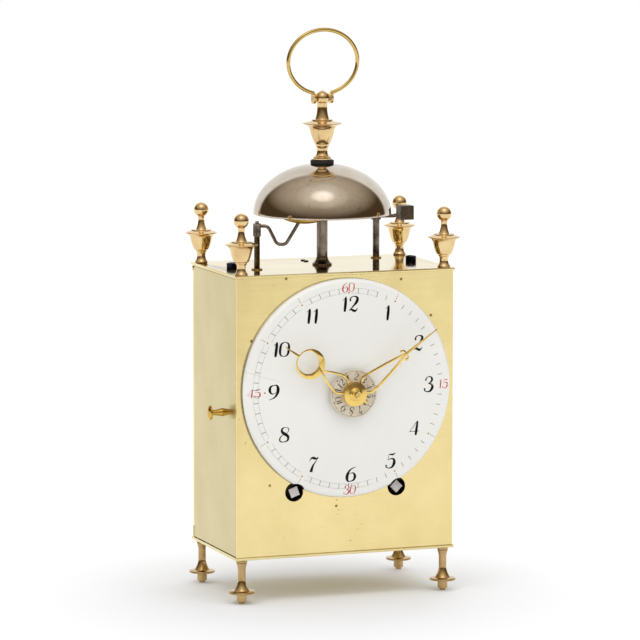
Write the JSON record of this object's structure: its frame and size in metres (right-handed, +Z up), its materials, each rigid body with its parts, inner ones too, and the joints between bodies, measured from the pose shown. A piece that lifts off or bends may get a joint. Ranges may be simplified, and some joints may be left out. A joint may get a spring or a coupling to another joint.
{
  "type": "capucine clock",
  "caption": "Brass travelling clock with a domed white dial, pierced hands, urn finials, a top bell with hammers and a carrying ring.",
  "frame": {"origin": "on the floor under the middle of the whole clock, hands and knobs included", "axes": "+X to the right seen from the front, +Y to the back, +Z up"},
  "size_m": [0.1358, 0.0968, 0.2953],
  "materials": {
    "rolled_brass": "worn satin",
    "front_brass": "worn satin",
    "door_brass": "dull satin",
    "turned_brass": "polished",
    "foot_brass": "polished",
    "works_brass": "satin",
    "engraved_brass": "satin",
    "gilt_hands": "polished",
    "bell_metal": "polished grey bronze",
    "enamel": "gloss",
    "washer_leather": "matte",
    "blued_steel": "blued",
    "dark_steel": "aged",
    "steel": "satin"
  },
  "bodies": {
    "case": {"base_plate": "rolled_brass", "top_plate": "rolled_brass", "front_plate": "front_brass", "corner_posts": "dark_steel", "dial": "enamel", "bell_standard": "dark_steel", "bell": "bell_metal", "bell_washer": "washer_leather", "handle_finial": "turned_brass", "handle_pin": "dark_steel", "plate_screws": "blued_steel", "hammer_bushes": "works_brass", "door_hinge_rods": "dark_steel", "movement_front_plate": "works_brass", "movement_back_plate": "works_brass", "movement_pillars": "works_brass", "winding_clicks": "steel", "movement_cocks": "works_brass", "foot_front_left": "foot_brass", "finial_front_left": "turned_brass", "foot_front_right": "foot_brass", "finial_front_right": "turned_brass", "foot_back_left": "foot_brass", "finial_back_left": "turned_brass", "foot_back_right": "foot_brass", "finial_back_right": "turned_brass"},
    "left_door": {"left_door": "door_brass", "left_door_knob": "turned_brass"},
    "right_door": {"right_door": "door_brass", "right_door_knob": "turned_brass"},
    "back_door": {"back_door": "door_brass", "back_door_knob": "turned_brass"},
    "carrying_ring": {"carrying_ring": "turned_brass"},
    "alarm_hammer": {"alarm_arbor": "dark_steel", "alarm_head": "turned_brass"},
    "strike_hammer": {"strike_arbor": "dark_steel", "strike_head": "dark_steel"},
    "minute_hand": {"minute_hand": "gilt_hands", "cannon_pinion": "works_brass"},
    "hour_hand": {"hour_hand": "gilt_hands", "hour_wheel": "works_brass"},
    "alarm_disc": {"alarm_disc": "engraved_brass"},
    "minute_wheel": {"minute_wheel": "works_brass"},
    "going_barrel": {"going_barrel": "works_brass", "going_mainspring": "steel"},
    "going_winding_arbor": {"going_winding_arbor": "steel"},
    "intermediate_wheel": {"intermediate_wheel": "works_brass"},
    "centre_wheel": {"centre_wheel": "works_brass"},
    "third_wheel": {"third_wheel": "works_brass"},
    "escape_wheel": {"escape_wheel": "works_brass"},
    "pendulum": {"pallet_anchor": "steel", "pendulum": "works_brass"},
    "strike_barrel": {"strike_barrel": "works_brass", "strike_mainspring": "steel"},
    "strike_winding_arbor": {"strike_winding_arbor": "steel"},
    "strike_second_wheel": {"strike_second_wheel": "works_brass"},
    "pin_wheel": {"pin_wheel": "works_brass"},
    "warning_wheel": {"warning_wheel": "works_brass"},
    "fly": {"fly": "works_brass"},
    "alarm_crown_wheel": {"alarm_crown_wheel": "works_brass"}
  },
  "joints": [
    {"name": "carrying_ring_tilt", "type": "hinge", "parent": "case", "child": "carrying_ring", "pos_m": [0, 0.0051, 0.25847], "axis": [1, 0, 0], "range_deg": [-153, 147]},
    {"name": "left_door_swing", "type": "hinge", "parent": "case", "child": "left_door", "pos_m": [-0.0591, 0.0387, 0.097], "axis": [0, 0, -1], "range_deg": [0, 105]},
    {"name": "right_door_swing", "type": "hinge", "parent": "case", "child": "right_door", "pos_m": [0.0591, 0.0387, 0.097], "axis": [0, 0, 1], "range_deg": [0, 105]},
    {"name": "back_door_swing", "type": "hinge", "parent": "case", "child": "back_door", "pos_m": [-0.0568, 0.0398, 0.097], "axis": [0, 0, 1], "range_deg": [0, 105]},
    {"name": "alarm_hammer_swing", "type": "hinge", "parent": "case", "child": "alarm_hammer", "pos_m": [-0.0398, -0.00505, 0.171], "axis": [0, 0, -1], "range_deg": [-10, 4]},
    {"name": "strike_hammer_swing", "type": "hinge", "parent": "case", "child": "strike_hammer", "pos_m": [0.0386, 0.0267, 0.171], "axis": [0, 0, -1], "range_deg": [-10, 14]},
    {"name": "minute_hand_turn", "type": "hinge", "parent": "case", "child": "minute_hand", "pos_m": [0, 0.0051, 0.109], "axis": [0, 1, 0], "continuous": true},
    {"name": "hour_hand_turn", "type": "hinge", "parent": "case", "child": "hour_hand", "pos_m": [0, 0.0051, 0.109], "axis": [0, 1, 0], "continuous": true},
    {"name": "minute_wheel_turn", "type": "hinge", "parent": "case", "child": "minute_wheel", "pos_m": [-0.01039, 0.0051, 0.103], "axis": [0, 1, 0], "continuous": true},
    {"name": "alarm_disc_turn", "type": "hinge", "parent": "hour_hand", "child": "alarm_disc", "pos_m": [0, 0.0051, 0.109], "axis": [0, 1, 0], "continuous": true},
    {"name": "third_wheel_turn", "type": "hinge", "parent": "case", "child": "third_wheel", "pos_m": [-0.01237, 0.0051, 0.12666], "axis": [0, 1, 0], "continuous": true},
    {"name": "centre_wheel_turn", "type": "hinge", "parent": "case", "child": "centre_wheel", "pos_m": [0, 0.0051, 0.109], "axis": [0, 1, 0], "continuous": true},
    {"name": "intermediate_wheel_turn", "type": "hinge", "parent": "case", "child": "intermediate_wheel", "pos_m": [-0.01633, 0.0051, 0.08694], "axis": [0, 1, 0], "continuous": true},
    {"name": "going_barrel_turn", "type": "hinge", "parent": "case", "child": "going_barrel", "pos_m": [-0.0284, 0.0051, 0.0573], "axis": [0, 1, 0], "continuous": true},
    {"name": "escape_wheel_turn", "type": "hinge", "parent": "case", "child": "escape_wheel", "pos_m": [0, 0.0051, 0.13918], "axis": [0, 1, 0], "continuous": true},
    {"name": "pendulum_swing", "type": "hinge", "parent": "case", "child": "pendulum", "pos_m": [0, 0.0051, 0.15568], "axis": [0, 1, 0], "range_deg": [-5, 5]},
    {"name": "warning_wheel_turn", "type": "hinge", "parent": "case", "child": "warning_wheel", "pos_m": [0.03587, 0.0051, 0.12484], "axis": [0, 1, 0], "continuous": true},
    {"name": "pin_wheel_turn", "type": "hinge", "parent": "case", "child": "pin_wheel", "pos_m": [0.03305, 0.0051, 0.10889], "axis": [0, 1, 0], "continuous": true},
    {"name": "strike_second_wheel_turn", "type": "hinge", "parent": "case", "child": "strike_second_wheel", "pos_m": [0.0367, 0.0051, 0.08821], "axis": [0, 1, 0], "continuous": true},
    {"name": "strike_barrel_turn", "type": "hinge", "parent": "case", "child": "strike_barrel", "pos_m": [0.0284, 0.0051, 0.0573], "axis": [0, 1, 0], "continuous": true},
    {"name": "fly_turn", "type": "hinge", "parent": "case", "child": "fly", "pos_m": [0.03475, 0.0051, 0.13759], "axis": [0, 1, 0], "continuous": true},
    {"name": "going_winding", "type": "hinge", "parent": "case", "child": "going_winding_arbor", "pos_m": [-0.0284, 0.0051, 0.0573], "axis": [0, 1, 0], "range_deg": [0, 1440]},
    {"name": "strike_winding", "type": "hinge", "parent": "case", "child": "strike_winding_arbor", "pos_m": [0.0284, 0.0051, 0.0573], "axis": [0, 1, 0], "range_deg": [0, 1440]},
    {"name": "alarm_wheel_turn", "type": "hinge", "parent": "case", "child": "alarm_crown_wheel", "pos_m": [-0.0398, 0.0051, 0.155], "axis": [0, 1, 0], "continuous": true}
  ],
  "couplings": [
    {"joint": "minute_wheel_turn", "follows": "minute_hand_turn", "ratio": -0.33333},
    {"joint": "hour_hand_turn", "follows": "minute_hand_turn", "ratio": 0.083333},
    {"joint": "centre_wheel_turn", "follows": "third_wheel_turn", "ratio": -0.088889},
    {"joint": "intermediate_wheel_turn", "follows": "third_wheel_turn", "ratio": 0.011111},
    {"joint": "going_barrel_turn", "follows": "third_wheel_turn", "ratio": -0.0012346},
    {"joint": "escape_wheel_turn", "follows": "third_wheel_turn", "ratio": -10},
    {"joint": "pin_wheel_turn", "follows": "warning_wheel_turn", "ratio": -0.125},
    {"joint": "strike_second_wheel_turn", "follows": "warning_wheel_turn", "ratio": 0.020833},
    {"joint": "strike_barrel_turn", "follows": "warning_wheel_turn", "ratio": -0.0023148},
    {"joint": "fly_turn", "follows": "warning_wheel_turn", "ratio": -7}
  ]
}
